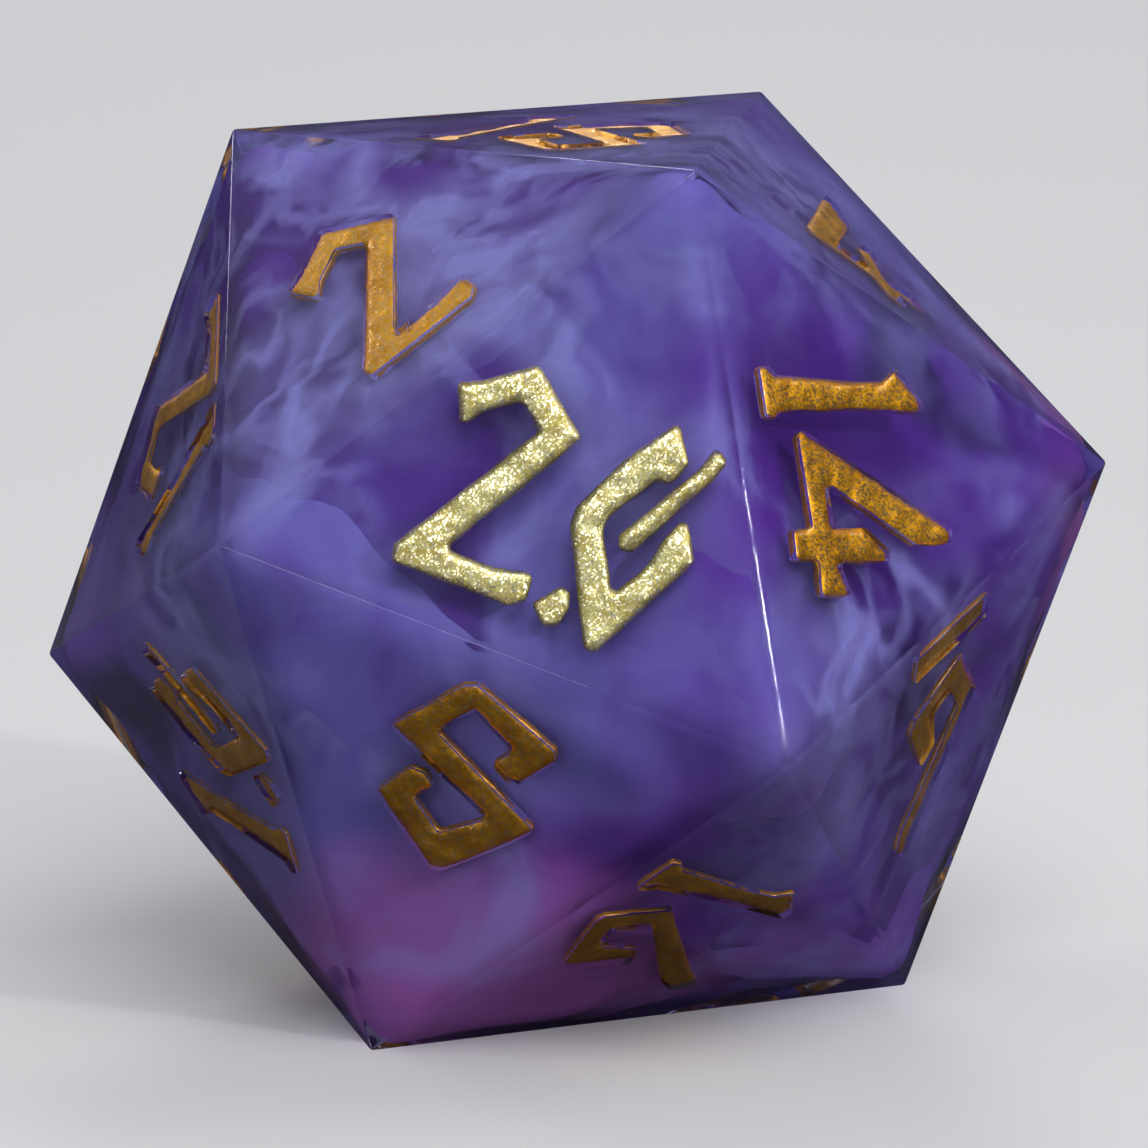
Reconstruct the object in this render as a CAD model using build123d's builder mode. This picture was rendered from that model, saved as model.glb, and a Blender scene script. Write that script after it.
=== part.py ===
from build123d import *
from math import cos, radians, sin, sqrt
import os

# A twenty-sided die: one cast resin body with a number cut into each face, and gold
# paint set into each cut. It stands on its 3 with 18 on top. The origin is the middle
# of the face that it rests on, +Z is up, and the 20 leans towards -Y.

# Driving dimensions, in millimetres.
FACE_TO_FACE = 20.0  # between opposite faces
EDGE_RADIUS = 0.12  # the faces are polished, so the edges are almost sharp
DIGIT_HEIGHT = 5.0
CUT_DEPTH = 0.45  # from the face to the floor of a cut
PAINT_DROP = 0.07  # from the face down to the paint
STROKE_ROUNDING = 0.12  # at the corners of each stroke
LETTER_GAP = 0.5  # between the two digits of a number
BAR_LENGTH = 3.0  # the bar that tells 6 from 9
BAR_WIDTH = 0.7
BAR_GAP = 0.35  # from the bar up to the baseline of its digit
BASELINE = -2.8  # usual height of a number's baseline, from the middle of its face
UNIT = DIGIT_HEIGHT / 100  # of the outlines of the digits

# Proportions of a regular icosahedron, from its face to face distance.
GOLDEN = (1 + sqrt(5)) / 2
EDGE = FACE_TO_FACE * sqrt(3) / GOLDEN**2
CAP_RADIUS = EDGE / sqrt(3)  # of the three corners round the top or the bottom face
BELT_RADIUS = CAP_RADIUS * GOLDEN  # of the six corners between them
BELT_DROP = CAP_RADIUS  # from the top face down to the upper three of those six

# The corners lie in four rings of three. Each ring has its corners' names, its radius,
# its height and the direction of its first corner seen from above, in degrees from +X.
RINGS = [
    ("GBA", CAP_RADIUS, FACE_TO_FACE, -90),
    ("CLH", BELT_RADIUS, FACE_TO_FACE - BELT_DROP, -30),
    ("IKF", BELT_RADIUS, BELT_DROP, -90),
    ("DJE", CAP_RADIUS, 0, -30),
]
CORNERS = {
    name: Vector(radius * cos(turn), radius * sin(turn), height)
    for names, radius, height, start in RINGS
    for name, turn in zip(names, (radians(start + step) for step in (0, 120, 240)))
}
OPPOSITE = dict(zip("ABCDEFGHIJKL", "DEFABCJKLGHI"))

# Ten of the numbers: the corners of its face, with the one that its top points to first,
# then how far its middle stands right of the face's middle, its baseline's height above
# the face's middle, and the gap between its digits.
PLACED = {
    20: ("GHI", 0, -2.75, 0.3),
    2: ("AHG", -0.15, -2.45, LETTER_GAP),
    14: ("CGI", 0.35, BASELINE, 0.3),
    8: ("EHI", 0, BASELINE, LETTER_GAP),
    18: ("BAG", 0.5, BASELINE, LETTER_GAP),
    12: ("FAH", -0.3, -3.15, LETTER_GAP),
    4: ("BCG", -0.45, -2.9, LETTER_GAP),
    6: ("DCI", -0.15, -2.15, LETTER_GAP),
    16: ("DEI", -0.15, -3.1, LETTER_GAP),
    10: ("FEH", 0, -2.7, 0.7),
}

# The outlines of the digits, in hundredths of their height, from the left end of the
# baseline. A nought has three strokes that don't touch: a bracket, a slash and a dot.
OUTLINES = {
    "0": [(28, 102), (38, 86), (34, 75), (28, 75), (14, 52), (14, 46), (28, 20), (38, 38),
          (41, 53), (46, 64), (56, 47), (30, -6), (25, -5), (0, 43), (0, 51), (12, 78)],
    "slash": [(47, 97), (54, 93), (50, 82), (30, 42), (24, 40), (22, 46), (43, 84)],
    "dot": [(-3, 4), (6, 16), (11, 15), (13, 8), (11, 0), (5, -3)],
    "1": [(0, 0), (23, 0), (23, 6), (20, 10), (19, 55), (21, 97), (15, 97), (1, 84),
          (7, 76), (7, 56), (4, 10), (0, 6)],
    "2": [(1, 0), (57, 0), (62, 5), (61, 17), (44, 13), (21, 13), (59, 80), (30, 103),
          (10, 88), (0, 83), (8, 65), (14, 75), (29, 86), (41, 76), (0, 7)],
    "3": [(8, 66), (0, 84), (11, 89), (30, 103), (57, 82), (40, 58), (60, 34), (29, 0),
          (4, 10), (2, 15), (8, 30), (15, 23), (28, 14), (43, 33), (18, 57), (41, 77),
          (29, 87), (14, 76)],
    "4": [(0, 21), (3, 17), (44, 17), (44, 5), (58, 4), (57, 18), (74, 16), (74, 34),
          (59, 30), (59, 61), (54, 61), (44, 49), (44, 30), (23, 30), (52, 79), (51, 102),
          (45, 102), (14, 46)],
    "5": [(4, 55), (6, 96), (11, 100), (46, 99), (57, 104), (55, 82), (45, 87), (20, 87),
          (19, 66), (60, 36), (29, 0), (4, 10), (2, 15), (8, 30), (15, 23), (28, 14),
          (43, 34), (9, 51)],
    "6": [(48, 104), (57, 95), (53, 84), (14, 36), (24, 20), (37, 25), (33, 46), (43, 53),
          (57, 24), (53, 18), (19, 4), (15, 5), (0, 34), (42, 93)],
    "7": [(9, 70), (0, 92), (9, 98), (56, 99), (62, 93), (30, 12), (32, 1), (9, 0), (7, 6),
          (14, 13), (42, 84), (16, 82)],
    "8": [(0, 62), (9, 74), (19, 85), (33, 100), (38, 102), (72, 73), (61, 54), (54, 54),
          (48, 60), (56, 68), (40, 82), (21, 65), (75, 37), (50, 3), (44, 0), (3, 18),
          (1, 23), (13, 41), (19, 42), (27, 37), (20, 26), (42, 13), (55, 31)],
}
OUTLINES["9"] = [(57 - x, 108 - y) for x, y in OUTLINES["6"]]
OUTLINES["bar"] = [
    (x * BAR_LENGTH / UNIT, (y * BAR_WIDTH - BAR_GAP) / UNIT)
    for x, y in ((0, 0), (1, 0), (1, -1), (0, -1))
]


def opposite_number(number):
    """The number on the opposite face, with its place. Opposite numbers add up to 21, and
    their tops point opposite ways."""
    corners = "".join(OPPOSITE[name] for name in PLACED[number][0])
    baseline = PLACED[6][2] if number == 12 else BASELINE
    return 21 - number, (corners, 0, baseline, LETTER_GAP)


def face_plane(corners):
    """The plane of a face, seen from outside with its first corner at the top."""
    middle = sum((CORNERS[name] for name in corners), Vector()) / 3
    outward = middle - Vector(0, 0, FACE_TO_FACE / 2)
    upward = CORNERS[corners[0]] - middle
    return Plane(origin=middle, x_dir=upward.cross(outward), z_dir=outward)


def strokes(number, gap):
    """Each stroke of a number: its name, its outline's name and its left end, in mm."""
    digits = str(number)
    left = 0
    for place, digit in zip(("units",) if number < 10 else ("tens", "units"), digits):
        yield f"{place}_{digit}", digit, left
        if digit == "0":
            yield "slash", "slash", left
            yield "dot", "dot", left
        left += max(x for x, _ in OUTLINES[digit]) * UNIT + gap
    if digits in "69":
        yield "bar", "bar", (left - gap - BAR_LENGTH) / 2


def stroke_sketch(plane, outline, left, baseline):
    """One stroke on a face, with its corners rounded."""
    points = [(left + x * UNIT, baseline + y * UNIT) for x, y in OUTLINES[outline]]
    with BuildSketch(plane) as stroke:
        with BuildLine():
            Polyline(*points, close=True)
        make_face()
        fillet(stroke.vertices(), STROKE_ROUNDING)
    return stroke.sketch


def number_strokes(number, corners, middle, baseline, gap):
    """The sketches of a number's strokes on its face, each with its piece's name."""
    plane = face_plane(corners)
    width = max(left + x * UNIT for _, outline, left in strokes(number, gap)
                for x, _ in OUTLINES[outline])
    for name, outline, left in strokes(number, gap):
        stroke = stroke_sketch(plane, outline, left + middle - width / 2, baseline)
        yield f"number_{number}_{name}", stroke


numbers = dict(PLACED)
numbers.update(opposite_number(number) for number in PLACED)
pieces = [piece for number, place in sorted(numbers.items())
          for piece in number_strokes(number, *place)]

# The resin body, with a cut for each stroke.
with BuildPart() as resin_body:
    ConvexPolyhedron(CORNERS.values())
    fillet(resin_body.edges(), EDGE_RADIUS)
    extrude([stroke.face() for _, stroke in pieces], amount=-CUT_DEPTH, mode=Mode.SUBTRACT)

os.makedirs("parts", exist_ok=True)
resin_body.part.label = "resin_body"
export_step(resin_body.part, "parts/resin_body.step")

# The paint in each cut.
for name, stroke in pieces:
    with BuildPart() as paint:
        extrude(stroke, amount=-CUT_DEPTH)
        extrude(stroke, amount=-PAINT_DROP, mode=Mode.SUBTRACT)
    paint.part.label = name
    export_step(paint.part, f"parts/{name}.step")
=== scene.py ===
"""The polyhedral die's looks: violet resin with milky plumes in it, and gold paint in the cuts.

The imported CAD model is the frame. Its resin body is shown as clear resin, with a clouded core
and thin veils of dye inside it. Each paint fill is rebuilt from its CAD node, as a poured and
slightly uneven one. Lengths are in metres, and MM is one millimetre.
"""

import math

import bmesh
import bpy
import numpy as np
from mathutils import Matrix, Vector, noise
from mathutils.kdtree import KDTree


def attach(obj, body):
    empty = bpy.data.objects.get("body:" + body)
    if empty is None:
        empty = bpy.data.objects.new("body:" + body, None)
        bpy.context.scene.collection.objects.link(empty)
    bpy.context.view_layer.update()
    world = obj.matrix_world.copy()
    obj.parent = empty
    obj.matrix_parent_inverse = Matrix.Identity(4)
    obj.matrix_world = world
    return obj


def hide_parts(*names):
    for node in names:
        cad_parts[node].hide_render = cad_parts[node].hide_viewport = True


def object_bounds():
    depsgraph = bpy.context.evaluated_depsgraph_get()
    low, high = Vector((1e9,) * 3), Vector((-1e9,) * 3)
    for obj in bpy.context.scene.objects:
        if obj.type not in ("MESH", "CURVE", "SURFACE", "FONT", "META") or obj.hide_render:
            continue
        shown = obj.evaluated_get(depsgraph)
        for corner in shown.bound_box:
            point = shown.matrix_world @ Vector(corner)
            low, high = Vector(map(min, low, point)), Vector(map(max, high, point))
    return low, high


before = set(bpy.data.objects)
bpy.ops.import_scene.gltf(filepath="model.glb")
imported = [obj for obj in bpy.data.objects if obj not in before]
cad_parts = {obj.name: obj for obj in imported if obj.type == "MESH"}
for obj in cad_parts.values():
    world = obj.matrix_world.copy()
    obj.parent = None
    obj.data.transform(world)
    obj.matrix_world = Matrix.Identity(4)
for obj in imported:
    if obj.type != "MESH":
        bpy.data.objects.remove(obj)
cad_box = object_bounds()
noise.seed_set(20)  # noise_vector is offset by random amounts

MM = 0.001
LOW, HIGH = cad_box
CENTRE = (LOW + HIGH) / 2
INRADIUS = (HIGH.z - LOW.z) / 2  # from the die's centre to each face

# Camera, at the angle of a close view from a little above the table.
AZIMUTH = -22.0
ELEVATION = 11.24
ROLL = -1.08
DISTANCE = 0.1639
LENS = 222.8
AIM = CENTRE + Vector((0.04, -0.09, -0.33)) * MM


# ---------------------------------------------------------------- helpers


def direction_to(azimuth, elevation):
    """The direction from the die to something at that azimuth and elevation, in degrees."""
    turn, rise = math.radians(azimuth), math.radians(elevation)
    return Vector((math.sin(turn) * math.cos(rise), -math.cos(turn) * math.cos(rise),
                   math.sin(rise)))


def new_material(name):
    """An empty material, with its node tree and its output node."""
    material = bpy.data.materials.new(name)
    material.use_nodes = True
    tree = material.node_tree
    tree.nodes.clear()
    return material, tree, tree.nodes.new("ShaderNodeOutputMaterial")


def add(tree, kind, inputs=None, **settings):
    """Adds a node. An input's value is a socket to link, or a plain value."""
    node = tree.nodes.new("ShaderNode" + kind)
    for name, value in settings.items():
        setattr(node, name, value)
    for name, value in (inputs or {}).items():
        if isinstance(value, bpy.types.NodeSocket):
            tree.links.new(value, node.inputs[name])
        else:
            node.inputs[name].default_value = value
    return node


def place_mm(tree):
    """The shaded point in the die's frame, in millimetres."""
    where = add(tree, "TexCoord").outputs["Object"]
    return add(tree, "VectorMath", {0: where, "Scale": 1 / MM}, operation="SCALE").outputs[0]


def from_centre(tree, where):
    """A point's place seen from the die's centre, in millimetres."""
    return vector_math(tree, "SUBTRACT", where, CENTRE / MM)


def vector_math(tree, operation, a, b):
    return add(tree, "VectorMath", {0: a, 1: b}, operation=operation).outputs[0]


def math_node(tree, operation, a, b=0.0):
    return add(tree, "Math", {0: a, 1: b}, operation=operation).outputs[0]


def smooth_noise(tree, where, scale, detail=3.0, roughness=0.5, distortion=0.0):
    """A noise texture node, with scale in cycles per millimetre."""
    inputs = {"Vector": where, "Scale": scale, "Detail": detail, "Roughness": roughness,
              "Distortion": distortion}
    return add(tree, "TexNoise", inputs)


def ramp(tree, factor, stops):
    """A colour ramp through (position, colour) stops, eased between them."""
    node = add(tree, "ValToRGB", {"Fac": factor})
    node.color_ramp.interpolation = "EASE"
    elements = node.color_ramp.elements
    while len(elements) < len(stops):
        elements.new(1.0)
    for element, (position, colour) in zip(elements, stops):
        element.position = position
        element.color = (*colour, 1.0)
    return node.outputs["Color"]


def remap(tree, value, low, high, to_low=0.0, to_high=1.0):
    """value between low and high, as a smooth step from to_low to to_high."""
    inputs = {"Value": value, "From Min": low, "From Max": high, "To Min": to_low,
              "To Max": to_high}
    return add(tree, "MapRange", inputs, interpolation_type="SMOOTHSTEP").outputs[0]


def mix_colour(tree, factor, a, b):
    inputs = {0: factor, 6: a, 7: b}
    return add(tree, "Mix", inputs, data_type="RGBA").outputs[2]


# ---------------------------------------------------------------- resin

MILK = (0.100, 0.092, 0.30)
LILAC = (0.080, 0.046, 0.225)
VIOLET = (0.056, 0.014, 0.18)
INK = (0.018, 0.010, 0.060)
SMOKE = (0.046, 0.032, 0.125)
PLUM = (0.135, 0.052, 0.245)
ROSE = (0.22, 0.072, 0.26)
WISP = (0.20, 0.21, 0.49)
RESIN_TINT = (0.97, 0.95, 1.0, 1.0)
WAVE_HEIGHT = 0.006  # mm, of the polished surface's slow waves
SCUFF_HEIGHT = 0.0003  # mm, of its fine wear

# The plumes of dye, laid one over another: the azimuth and elevation of the middle of each,
# in degrees, how far it reaches from there, how far it rises towards the surface, from -1 to
# 1, and its colour.
PLUMES = [
    (-45, -8, 62, 0.5, MILK),
    (-2, 48, 30, 0.3, MILK),
    (130, 30, 70, 0.4, MILK),
    (175, -40, 50, 0.2, MILK),
    (15, -54, 54, 0.1, PLUM),
    (-50, 60, 28, -0.1, SMOKE),
    (0, 88, 34, 0.0, SMOKE),
    (18, 22, 34, -0.4, VIOLET),
    (-8, -38, 26, 0.1, VIOLET),
    (45, -20, 36, -0.2, VIOLET),
    (-80, 56, 40, 0.0, VIOLET),
    (-68, 60, 22, 0.0, VIOLET),
    (-160, 20, 45, -0.3, VIOLET),
    (95, -30, 40, 0.1, VIOLET),
    (150, 70, 30, -0.3, VIOLET),
    (48, 28, 13, -1.0, INK),
    (-72, 30, 16, -1.0, INK),
    (12, 60, 8, -0.9, INK),
    (-110, -20, 14, -0.9, INK),
    (160, -5, 18, -1.0, INK),
    (-45, -62, 38, 0.3, ROSE),
    (72, 8, 22, 0.3, ROSE),
    (-170, -55, 30, 0.2, ROSE),
]
PLUME_SHARE = 0.92  # of a plume's colour at its heart

# The threads in the milk: how many to a millimetre, their seed, their width, and how much
# they cover at most.
THREADS = [(0.15, 31.0, 0.09, 0.34), (0.34, 47.0, 0.12, 0.32)]
MOST_MILK = 0.7  # that the milk veil covers anywhere
MILK_BELOW = 0.35  # of that, near the bottom of the die


def stirred(tree, where, scale, amount, seed):
    """A point moved by up to about amount, in mm, by a slow noise, as poured resin stirs."""
    moved = vector_math(tree, "ADD", where, (seed, seed * 1.7, seed * 0.6))
    slow = smooth_noise(tree, moved, scale, 2.0).outputs["Color"]
    stir = vector_math(tree, "SUBTRACT", slow, (0.5, 0.5, 0.5))
    return add(tree, "VectorMath", {0: stir, 1: (2 * amount,) * 3, 2: where},
               operation="MULTIPLY_ADD").outputs[0]


def swirled(tree, where, scale, seed, swirl=2.2, detail=4.0):
    """A noise with its coordinates stirred by a slower noise."""
    point = stirred(tree, where, scale * 0.5, swirl / scale / 2, seed)
    return smooth_noise(tree, point, scale, detail, 0.5, 0.3).outputs["Fac"]


def filaments(tree, where, scale, seed, width):
    """Thin curled threads, where a stirred noise passes through its middle value."""
    wave = math_node(tree, "SUBTRACT", swirled(tree, where, scale, seed, 4.0, 3.0), 0.5)
    return remap(tree, math_node(tree, "ABSOLUTE", wave), width, 0.0)


def dye_colour(tree, where):
    """The plumes over a lilac ground, with a fine marbling of light and dark."""
    point = stirred(tree, stirred(tree, where, 0.13, 3.4, 3.0), 0.42, 1.1, 17.0)
    aim = add(tree, "VectorMath", {0: from_centre(tree, point)}, operation="NORMALIZE").outputs[0]
    colour = (*LILAC, 1.0)
    for azimuth, elevation, reach, _, tint in PLUMES:
        axis = direction_to(azimuth, elevation)
        near = add(tree, "VectorMath", {0: aim, 1: axis}, operation="DOT_PRODUCT")
        edge, heart = math.cos(math.radians(reach)), math.cos(math.radians(reach * 0.35))
        share = remap(tree, near.outputs["Value"], edge, heart, 0.0, PLUME_SHARE)
        colour = mix_colour(tree, share, colour, (*tint, 1.0))
    marble = swirled(tree, where, 0.28, 11.0)
    light = remap(tree, marble, 0.50, 0.74, 0.0, 0.5)
    dark = remap(tree, marble, 0.48, 0.22, 0.0, 0.75)
    colour = mix_colour(tree, light, colour, (*WISP, 1.0))
    return mix_colour(tree, dark, colour, (*VIOLET, 1.0))


def core_material():
    """The clouded heart of the die."""
    material, tree, output = new_material("resin_core")
    where = place_mm(tree)
    shader = add(tree, "BsdfPrincipled", {
        "Base Color": dye_colour(tree, where), "Roughness": 0.6, "Specular IOR Level": 0.0})
    tree.links.new(shader.outputs[0], output.inputs["Surface"])
    return material


def veil_material(name, alpha_of, tint):
    """A thin sheet of dye. alpha_of gives how much of it there is, from a tree and a point."""
    material, tree, output = new_material(name)
    where = place_mm(tree)
    shader = add(tree, "BsdfPrincipled", {
        "Base Color": (*tint, 1.0), "Roughness": 0.8, "Specular IOR Level": 0.0,
        "Alpha": alpha_of(tree, where)})
    tree.links.new(shader.outputs[0], output.inputs["Surface"])
    return material


def milk_cover(tree, where):
    """Soft clouds, with coarse and fine threads in patches of them, and less of all below."""
    cover = remap(tree, swirled(tree, where, 0.16, 5.0, 3.0), 0.48, 0.74, 0.0, 0.20)
    for scale, seed, width, share in THREADS:
        patch = remap(tree, swirled(tree, where, 0.12, seed / 4, 2.0, 1.0), 0.44, 0.60, 0.0, share)
        thread = math_node(tree, "MULTIPLY", filaments(tree, where, scale, seed, width), patch)
        cover = math_node(tree, "ADD", cover, thread)
    height = add(tree, "SeparateXYZ", {0: where}).outputs["Z"]
    above = remap(tree, height, 0.1 * HIGH.z / MM, 0.6 * HIGH.z / MM, MILK_BELOW, 1.0)
    return math_node(tree, "MULTIPLY", math_node(tree, "MINIMUM", cover, MOST_MILK), above)


def ink_cover(tree, where):
    """Broad plumes, each with a sharper outer side."""
    plume = swirled(tree, where, 0.11, 9.0, 3.0, 4.0)
    rise = remap(tree, plume, 0.52, 0.60)
    fade = remap(tree, plume, 0.80, 0.58, 0.0, 0.6)
    return math_node(tree, "MULTIPLY", rise, fade)


def polish_marks(tree, where):
    """The normal of a hand-polished surface: slow waves, and fine wear towards the corners."""
    waves = smooth_noise(tree, where, 0.35, 1.0).outputs["Fac"]
    broad = add(tree, "Bump", {"Height": waves, "Strength": 1.0, "Distance": WAVE_HEIGHT * MM})
    offset = from_centre(tree, where)
    reach = add(tree, "VectorMath", {0: offset}, operation="LENGTH").outputs["Value"]
    worn = remap(tree, reach, 1.10 * INRADIUS / MM, 1.24 * INRADIUS / MM, 0.1, 1.0)
    grain = smooth_noise(tree, where, 4.0, 3.0).outputs["Fac"]
    scuffs = math_node(tree, "MULTIPLY", grain, worn)
    fine = add(tree, "Bump", {"Height": scuffs, "Strength": 1.0, "Distance": SCUFF_HEIGHT * MM,
                              "Normal": broad.outputs[0]})
    return fine.outputs[0]


def clear_resin():
    """Polished clear resin. Lamps reach what it holds, as they do through the real casting."""
    material, tree, output = new_material("clear_resin")
    shader = add(tree, "BsdfPrincipled", {
        "Base Color": RESIN_TINT, "Roughness": 0.02, "Transmission Weight": 1.0, "IOR": 1.5,
        "Specular IOR Level": 0.15, "Normal": polish_marks(tree, place_mm(tree))})
    clear = add(tree, "BsdfTransparent", {"Color": RESIN_TINT})
    path = add(tree, "LightPath")
    both = add(tree, "MixShader", {0: path.outputs["Is Shadow Ray"], 1: shader.outputs[0],
                                   2: clear.outputs[0]})
    tint = add(tree, "VolumeAbsorption", {"Color": (0.56, 0.38, 0.84, 1.0), "Density": 60.0})
    tree.links.new(both.outputs[0], output.inputs["Surface"])
    tree.links.new(tint.outputs[0], output.inputs["Volume"])
    return material


def face_normals():
    """The outward directions of the die's twenty faces."""
    found = []
    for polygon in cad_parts["resin_body"].data.polygons:
        reach = (polygon.center - CENTRE).dot(polygon.normal)
        if abs(reach - INRADIUS) > 0.02 * MM:
            continue
        if all(polygon.normal.dot(other) < 0.99 for other in found):
            found.append(polygon.normal.copy())
    return found


FACE_NORMALS = face_normals()
LEAST_DEPTH = 0.55 * MM  # of anything in the resin, so that it stays clear of the cuts
CORNER_DEPTH = 0.28 * MM  # of the same at a corner, where there are no cuts
CORNER_START = 1.15  # times INRADIUS from the centre, where a face turns into a corner
CORNER_FULL = 1.24
CORNER_CUT = 1.245  # at which the corners of what the resin holds are rounded off
SHELL_DETAIL = 6  # subdivisions of an icosahedron


def plume_lift(direction):
    """How far the plumes rise in a direction from the die's centre, from about -1 to 1."""
    lift = 0.0
    for azimuth, elevation, reach, rise, _ in PLUMES:
        apart = math.degrees(direction.angle(direction_to(azimuth, elevation)))
        share = max(0.0, 1 - apart / reach)
        lift += (rise - lift) * share * share * (3 - 2 * share)
    return lift


def shell(name, depth, wobble, scale, seed, plumes=0.0):
    """A closed surface inside the die, about depth under its faces, rising and sinking by
    wobble at random and by plumes where the plumes do. It comes closer to the corners."""
    bm = bmesh.new()
    bmesh.ops.create_icosphere(bm, subdivisions=SHELL_DETAIL, radius=1.0)
    directions = [vertex.co.normalized() for vertex in bm.verts]
    surface = INRADIUS / (np.array(directions) @ np.array(FACE_NORMALS).T).max(axis=1)
    shift = Vector((seed, 0, 0))
    for vertex, direction, reach in zip(bm.verts, directions, surface):
        lift = wobble * noise.fractal(direction * scale + shift, 0.8, 2.0, 3)
        lift += plumes * plume_lift(direction)
        under = max(depth - lift, LEAST_DEPTH)
        towards = (reach / INRADIUS - CORNER_START) / (CORNER_FULL - CORNER_START)
        near_corner = max(0.0, min(1.0, towards))
        under *= 1 + (CORNER_DEPTH / LEAST_DEPTH - 1) * near_corner
        vertex.co = CENTRE + direction * (min(reach, INRADIUS * CORNER_CUT) - under)
    mesh = bpy.data.meshes.new(name)
    bm.to_mesh(mesh)
    bm.free()
    mesh.shade_smooth()
    piece = bpy.data.objects.new(name, mesh)
    bpy.context.scene.collection.objects.link(piece)
    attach(piece, "root")
    return piece


def dress_resin():
    """The clear body, with the clouded core and the veils of milk and ink inside it."""
    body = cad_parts["resin_body"]
    body.data.materials.clear()
    body.data.materials.append(clear_resin())
    core = shell("resin_core", 1.3 * MM, 0.9 * MM, 1.6, 1.0, plumes=1.2 * MM)
    core.data.materials.append(core_material())
    milk = shell("milk_veil", 0.75 * MM, 0.3 * MM, 1.4, 5.0)
    milk.data.materials.append(veil_material("milk_veil", milk_cover, WISP))
    ink = shell("ink_veil", 1.1 * MM, 0.4 * MM, 1.4, 9.0)
    ink.data.materials.append(veil_material("ink_veil", ink_cover, VIOLET))


# ---------------------------------------------------------------- paint

VOXEL = 0.07  # mm, the size of a paint fill's facets
SWELL = 0.012  # mm, by which the paint keys into the walls of its cut
SHOULDER = 0.22  # mm, over which its top falls away towards the rim
SAG = 0.05  # mm, by which the rim is lower than the middle
UNEVEN = 0.03  # mm, of waves along its outline and over its top
SIDE_RIPPLE = 0.012  # mm, of finer waves along its outline
TOP_RIPPLE = 0.010  # mm, of finer waves over its top
SETTLE = 0.01  # mm, by which the whole top lies lower than in CAD
TOP_LAYER = 0.15  # mm, how far down the top's waves and sag carry
RIM_STEP = 0.05  # mm, between the points taken along its rim
# The paint on this face gets a painted sheen: a paler colour and more pale flakes.
TWENTY = max(FACE_NORMALS, key=direction_to(-22, 20).dot)  # the way that the 20 faces


def outward_normal(mesh):
    """The direction in which a fill's top faces."""
    middle = sum((v.co for v in mesh.vertices), Vector()) / len(mesh.vertices)
    return max(FACE_NORMALS, key=(middle - CENTRE).dot)


def welded_in_mm(mesh):
    """A copy of a CAD mesh as a bmesh in millimetres, from the die's centre, watertight."""
    bm = bmesh.new()
    bm.from_mesh(mesh)
    bmesh.ops.transform(bm, matrix=Matrix.Scale(1 / MM, 4) @ Matrix.Translation(-CENTRE),
                        verts=bm.verts)
    bmesh.ops.remove_doubles(bm, verts=bm.verts, dist=0.0005)
    return bm


def remeshed(bm, name):
    """A bmesh's surface in even facets of VOXEL size, as a new mesh."""
    mesh = bpy.data.meshes.new(name)
    bm.to_mesh(mesh)
    bm.free()
    draft = bpy.data.objects.new(name, mesh)
    bpy.context.scene.collection.objects.link(draft)
    modifier = draft.modifiers.new("even", "REMESH")
    modifier.mode = "VOXEL"
    modifier.voxel_size = VOXEL
    ready = draft.evaluated_get(bpy.context.evaluated_depsgraph_get())
    made = bpy.data.meshes.new_from_object(ready)
    bpy.data.objects.remove(draft)
    bpy.data.meshes.remove(mesh)
    return made


def poured(mesh, rim, normal, top):
    """Lets a remeshed fill's top sag towards its rim, and makes it and its outline uneven."""
    tree = KDTree(len(rim))
    for index, point in enumerate(rim):
        tree.insert(point, index)
    tree.balance()
    normals = [vertex.normal.copy() for vertex in mesh.vertices]
    for vertex, outward in zip(mesh.vertices, normals):
        co = vertex.co.copy()
        height = co.dot(normal)
        upper = max(0.0, min(1.0, 1 - (top - height) / TOP_LAYER))
        distance = tree.find(co + normal * (top - height))[2]
        fall = max(0.0, 1 - distance / SHOULDER) ** 2
        wave = (noise.noise_vector(co * 1.3) * UNEVEN
                + noise.noise_vector(co * 4.0) * SIDE_RIPPLE)
        rise = (noise.noise(co * 2.2) * UNEVEN + noise.noise(co * 6.0) * TOP_RIPPLE
                - SAG * fall - SETTLE)
        side = wave - normal * wave.dot(normal)
        vertex.co = co + side + outward * SWELL + normal * rise * upper


def paint_piece(name, node, material):
    """A poured fill in place of one CAD paint node."""
    normal = outward_normal(node.data)
    bm = welded_in_mm(node.data)
    top = max(v.co.dot(normal) for v in bm.verts)
    rim = []
    for edge in bm.edges:
        ends = [v.co for v in edge.verts]
        on_top = [face for face in edge.link_faces if face.normal.dot(normal) > 0.9]
        if len(on_top) == 1 and all(top - end.dot(normal) < 0.01 for end in ends):
            steps = max(1, round((ends[1] - ends[0]).length / RIM_STEP))
            rim += [ends[0].lerp(ends[1], step / steps) for step in range(steps + 1)]
    mesh = remeshed(bm, name)
    poured(mesh, rim, normal, top)
    mesh.transform(Matrix.Translation(CENTRE) @ Matrix.Scale(MM, 4))
    mesh.shade_smooth()
    mesh.materials.clear()
    mesh.materials.append(material)
    piece = bpy.data.objects.new(name, mesh)
    bpy.context.scene.collection.objects.link(piece)
    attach(piece, "root")
    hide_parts(node.name)


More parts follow.
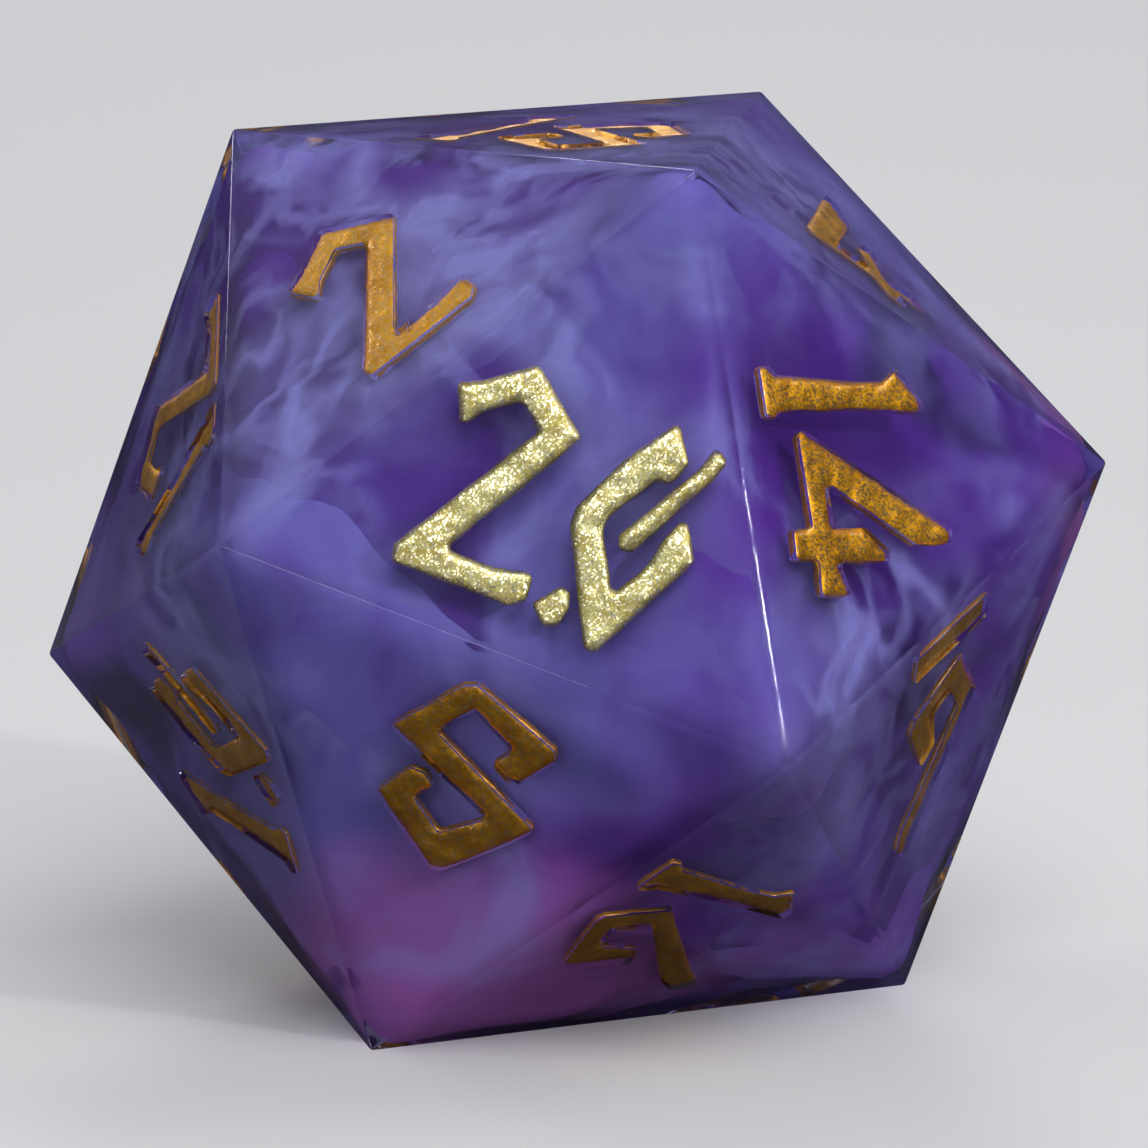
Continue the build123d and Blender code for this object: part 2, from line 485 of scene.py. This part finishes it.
def gold_material():
    """Orange gold paint with a fine grain of flakes. On the 20 it is painted paler, with more pale
    flakes: a painted sheen of the key light.
    """
    material, tree, output = new_material("gold_paint")
    where = place_mm(tree)
    flakes = add(tree, "TexVoronoi", {"Vector": where, "Scale": 26.0})
    tilt = vector_math(tree, "SUBTRACT", flakes.outputs["Color"], (0.5, 0.5, 0.5))
    normal = add(tree, "NewGeometry").outputs["Normal"]
    tilted = add(tree, "VectorMath", {0: tilt, 1: (0.24,) * 3, 2: normal},
                 operation="MULTIPLY_ADD").outputs[0]
    tilted = add(tree, "VectorMath", {0: tilted}, operation="NORMALIZE").outputs[0]
    tone = smooth_noise(tree, where, 1.2, 4.0).outputs["Fac"]
    amber = ramp(tree, tone, [(0.3, (0.54, 0.235, 0.005)), (0.7, (0.78, 0.38, 0.012))])
    # Painted sheen: a paler champagne colour on the 20's face stands in for the key light's
    # reflection there.
    painted_sheen_champagne = ramp(tree, tone, [(0.3, (0.38, 0.31, 0.08)), (0.7, (0.46, 0.42, 0.17))])
    offset = from_centre(tree, where)
    height = add(tree, "VectorMath", {0: offset, 1: TWENTY}, operation="DOT_PRODUCT")
    painted_sheen_on_twenty = remap(tree, height.outputs["Value"], INRADIUS / MM - 0.35, INRADIUS / MM - 0.25)
    body = mix_colour(tree, painted_sheen_on_twenty, amber, painted_sheen_champagne)
    chance = add(tree, "SeparateColor", {0: flakes.outputs["Color"]}).outputs[0]
    pale = remap(tree, chance, 0.50, 0.80)
    # Pale flakes are a quarter of the paint, rising to 0.6 on the 20, where the extra share is
    # painted sheen.
    most = remap(tree, painted_sheen_on_twenty, 0.0, 1.0, 0.25, 0.60)
    colour = mix_colour(tree, math_node(tree, "MULTIPLY", pale, most), body,
                        (0.80, 0.80, 0.60, 1.0))
    roughness = remap(tree, pale, 0.0, 1.0, 0.50, 0.32)
    shader = add(tree, "BsdfPrincipled", {
        "Base Color": colour, "Metallic": 1.0, "Roughness": roughness, "Normal": tilted,
        "Coat Weight": 0.25, "Coat Roughness": 0.12, "Coat IOR": 1.5})
    tree.links.new(shader.outputs[0], output.inputs["Surface"])
    return material


def dress_paint():
    """A poured fill for each CAD paint node, all in one gold paint."""
    gold = gold_material()
    for name, node in list(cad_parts.items()):
        if name != "resin_body":
            paint_piece(name + "_fill", node, gold)


# ---------------------------------------------------------------- stage


def area_light(name, azimuth, elevation, distance, size, power):
    """A round softbox aimed at the die. Azimuth 0 is in front of it, towards -Y."""
    data = bpy.data.lights.new(name, "AREA")
    data.shape = "DISK"
    data.size = size
    data.energy = power
    lamp = bpy.data.objects.new(name, data)
    bpy.context.scene.collection.objects.link(lamp)
    back = direction_to(azimuth, elevation)
    lamp.location = CENTRE + back * distance
    lamp.rotation_euler = back.to_track_quat("Z", "Y").to_euler()


def make_camera():
    """A long lens close to the die, turned a little about its own axis by ROLL."""
    data = bpy.data.cameras.new("camera")
    data.lens = LENS
    data.sensor_width = 36
    data.clip_start = 0.01
    data.clip_end = 20
    camera = bpy.data.objects.new("camera", data)
    bpy.context.scene.collection.objects.link(camera)
    back = direction_to(AZIMUTH, ELEVATION)
    camera.location = AIM + back * DISTANCE
    turn = back.to_track_quat("Z", "Y").to_matrix() @ Matrix.Rotation(math.radians(ROLL), 3, "Z")
    camera.rotation_euler = turn.to_euler()
    bpy.context.scene.camera = camera


def make_floor():
    """A pale floor. What the die mirrors of it is painted dark, a painted reflection standing in
    for the dark table under the real one.
    """
    bm = bmesh.new()
    half_side = 1.2
    corners = [bm.verts.new((x * half_side, y * half_side, LOW.z)) for x, y in
               ((-1, -1), (1, -1), (1, 1), (-1, 1))]
    bm.faces.new(corners)
    mesh = bpy.data.meshes.new("floor")
    bm.to_mesh(mesh)
    bm.free()
    floor = bpy.data.objects.new("floor", mesh)
    bpy.context.scene.collection.objects.link(floor)
    material, tree, output = new_material("floor")
    path = add(tree, "LightPath")
    direct = math_node(tree, "LESS_THAN", path.outputs["Diffuse Depth"], 0.5)
    painted_dark_reflection = math_node(tree, "MULTIPLY", path.outputs["Is Glossy Ray"], direct)
    # Painted reflection: rays mirrored off the die, before any diffuse bounce, see the floor dark.
    colour = mix_colour(tree, painted_dark_reflection, (0.60, 0.60, 0.60, 1), (0.05, 0.05, 0.055, 1))
    shader = add(tree, "BsdfPrincipled", {"Base Color": colour, "Roughness": 0.7})
    tree.links.new(shader.outputs[0], output.inputs["Surface"])
    mesh.materials.append(material)


def light_studio():
    """Dim all round, brighter overhead, with a soft key above the camera and a fill."""
    world = bpy.data.worlds.new("studio")
    bpy.context.scene.world = world
    world.use_nodes = True
    tree = world.node_tree
    tree.nodes.clear()
    towards = add(tree, "TexCoord").outputs["Generated"]
    height = add(tree, "SeparateXYZ", {0: towards}).outputs["Z"]
    colour = ramp(tree, height, [(0.0, (0.05, 0.05, 0.06)), (0.3, (0.11, 0.11, 0.13)),
                                 (1.0, (0.56, 0.57, 0.61))])
    background = add(tree, "Background", {"Color": colour, "Strength": 1.0})
    output = tree.nodes.new("ShaderNodeOutputWorld")
    tree.links.new(background.outputs[0], output.inputs["Surface"])
    area_light("key_light", -8, 52, 0.35, 0.24, 0.70)
    area_light("fill_light", 78, 45, 0.4, 0.20, 0.25)
    area_light("back_light", 155, 32, 0.4, 0.12, 0.25)
    area_light("side_light", -158, 30, 0.4, 0.12, 0.22)
    area_light("front_light", -42, 7, 0.4, 0.16, 0.27)
    area_light("glint_light", 26, 26, 0.4, 0.024, 0.45)


dress_resin()
dress_paint()
make_floor()
light_studio()
make_camera()
bpy.context.scene.view_settings.view_transform = "Standard"
bpy.context.scene.cycles.diffuse_bounces = 2
bpy.context.scene.cycles.transmission_bounces = 8
